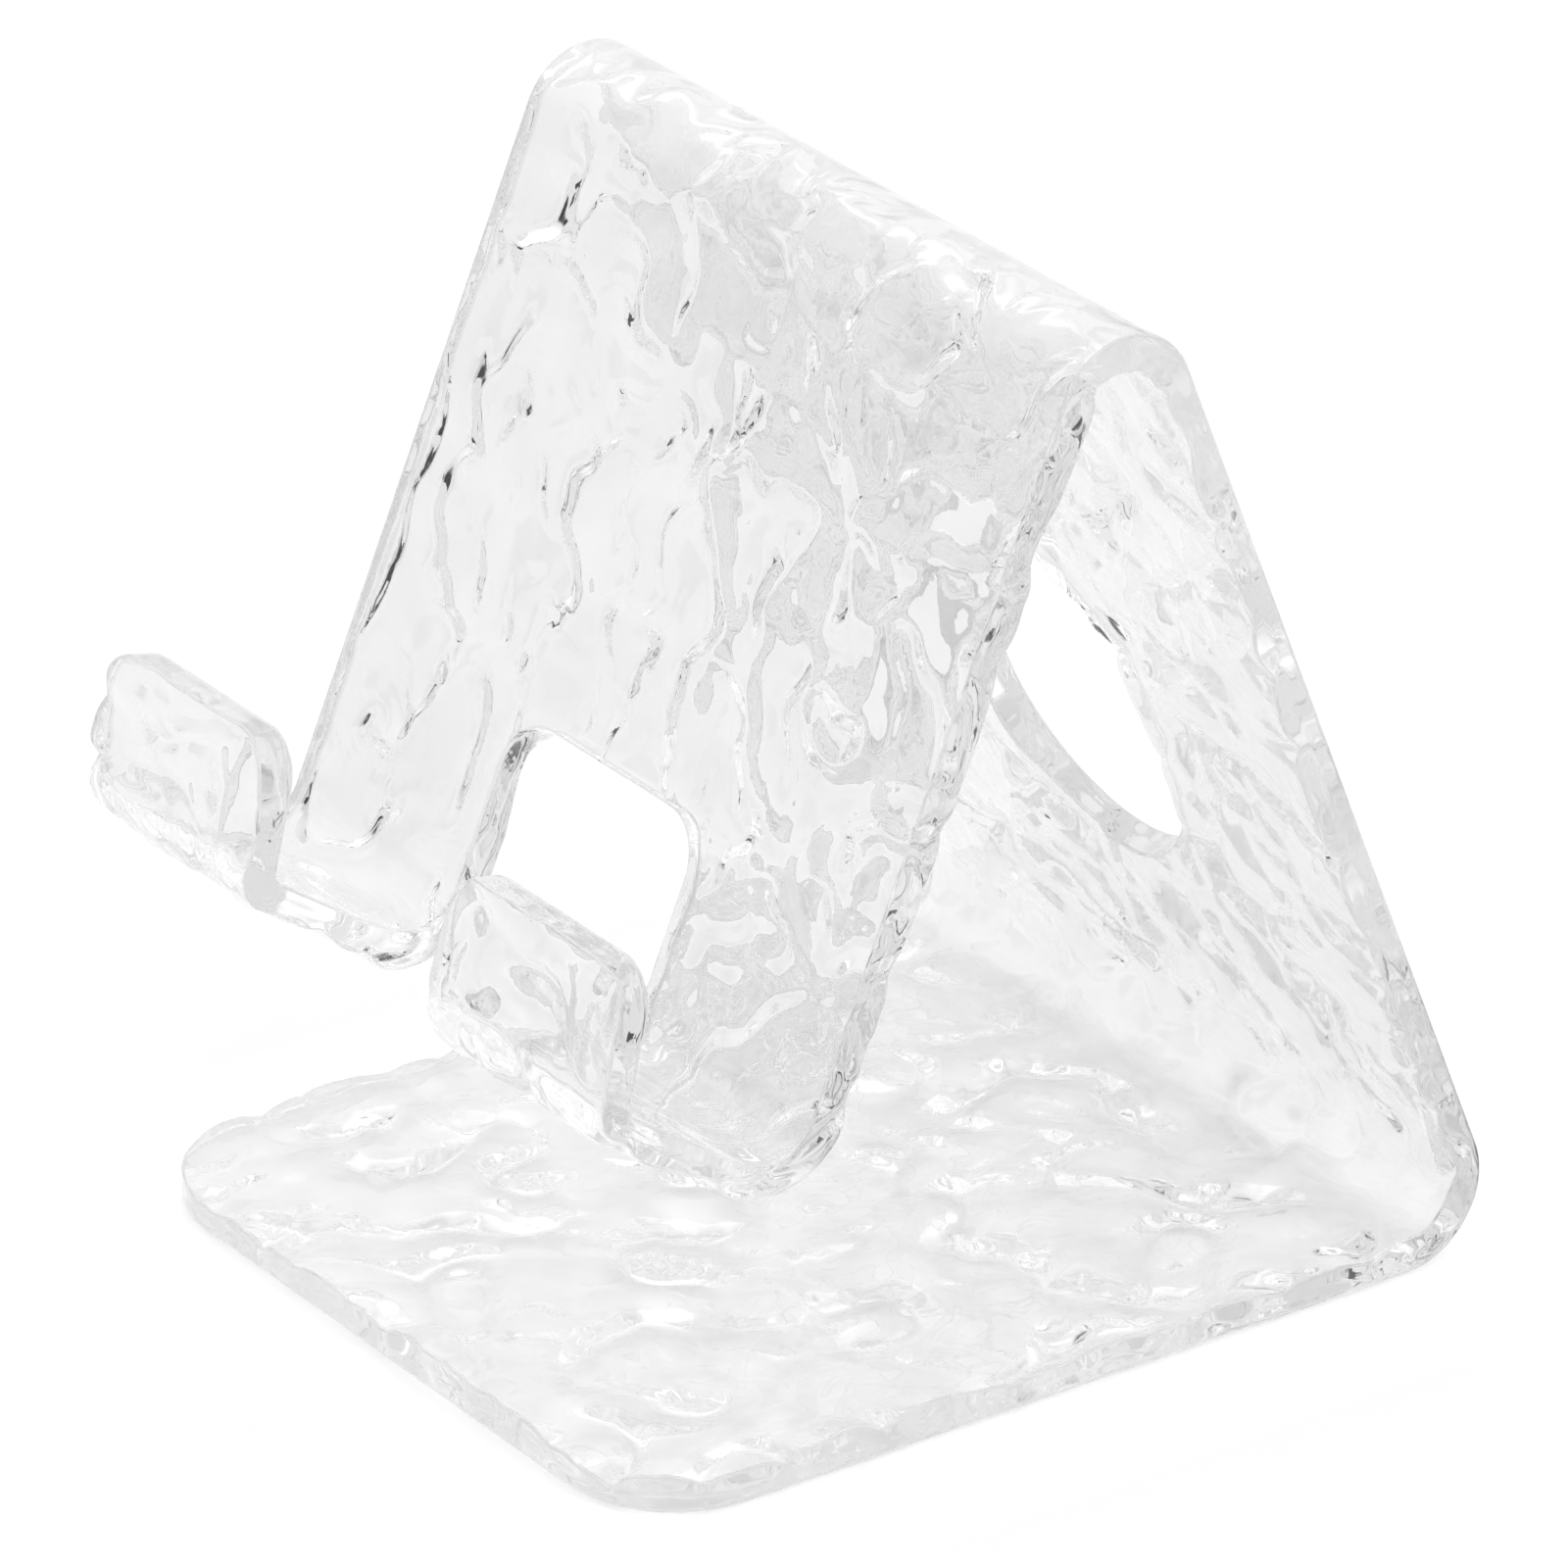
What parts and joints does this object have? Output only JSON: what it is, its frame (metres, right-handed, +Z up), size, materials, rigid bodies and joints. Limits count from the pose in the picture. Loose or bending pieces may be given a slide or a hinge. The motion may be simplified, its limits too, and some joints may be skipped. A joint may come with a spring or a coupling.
{
  "type": "phone stand",
  "caption": "Clear rippled acrylic phone stand bent from sheet: flat base, back panel with an oval cable window, sloping front rest, and lipped hooks beside a cable notch.",
  "frame": {"origin": "centre of the footprint on the base's underside, which rests on the desk", "axes": "+X is the stand's right side seen from the front, +Y points to the back, +Z is up; the stand is symmetric about X = 0"},
  "size_m": [0.08, 0.0953, 0.099],
  "materials": {
    "clear_acrylic": "clear and glossy, water-ripple texture on one face and smooth on the other"
  },
  "bodies": {
    "root": {"base_plate": "clear_acrylic", "rear_bend": "clear_acrylic", "back_panel": "clear_acrylic", "top_bend": "clear_acrylic", "front_panel": "clear_acrylic", "left_lower_bend": "clear_acrylic", "left_shelf": "clear_acrylic", "left_lip_bend": "clear_acrylic", "left_lip": "clear_acrylic", "right_lower_bend": "clear_acrylic", "right_shelf": "clear_acrylic", "right_lip_bend": "clear_acrylic", "right_lip": "clear_acrylic"}
  },
  "joints": []
}
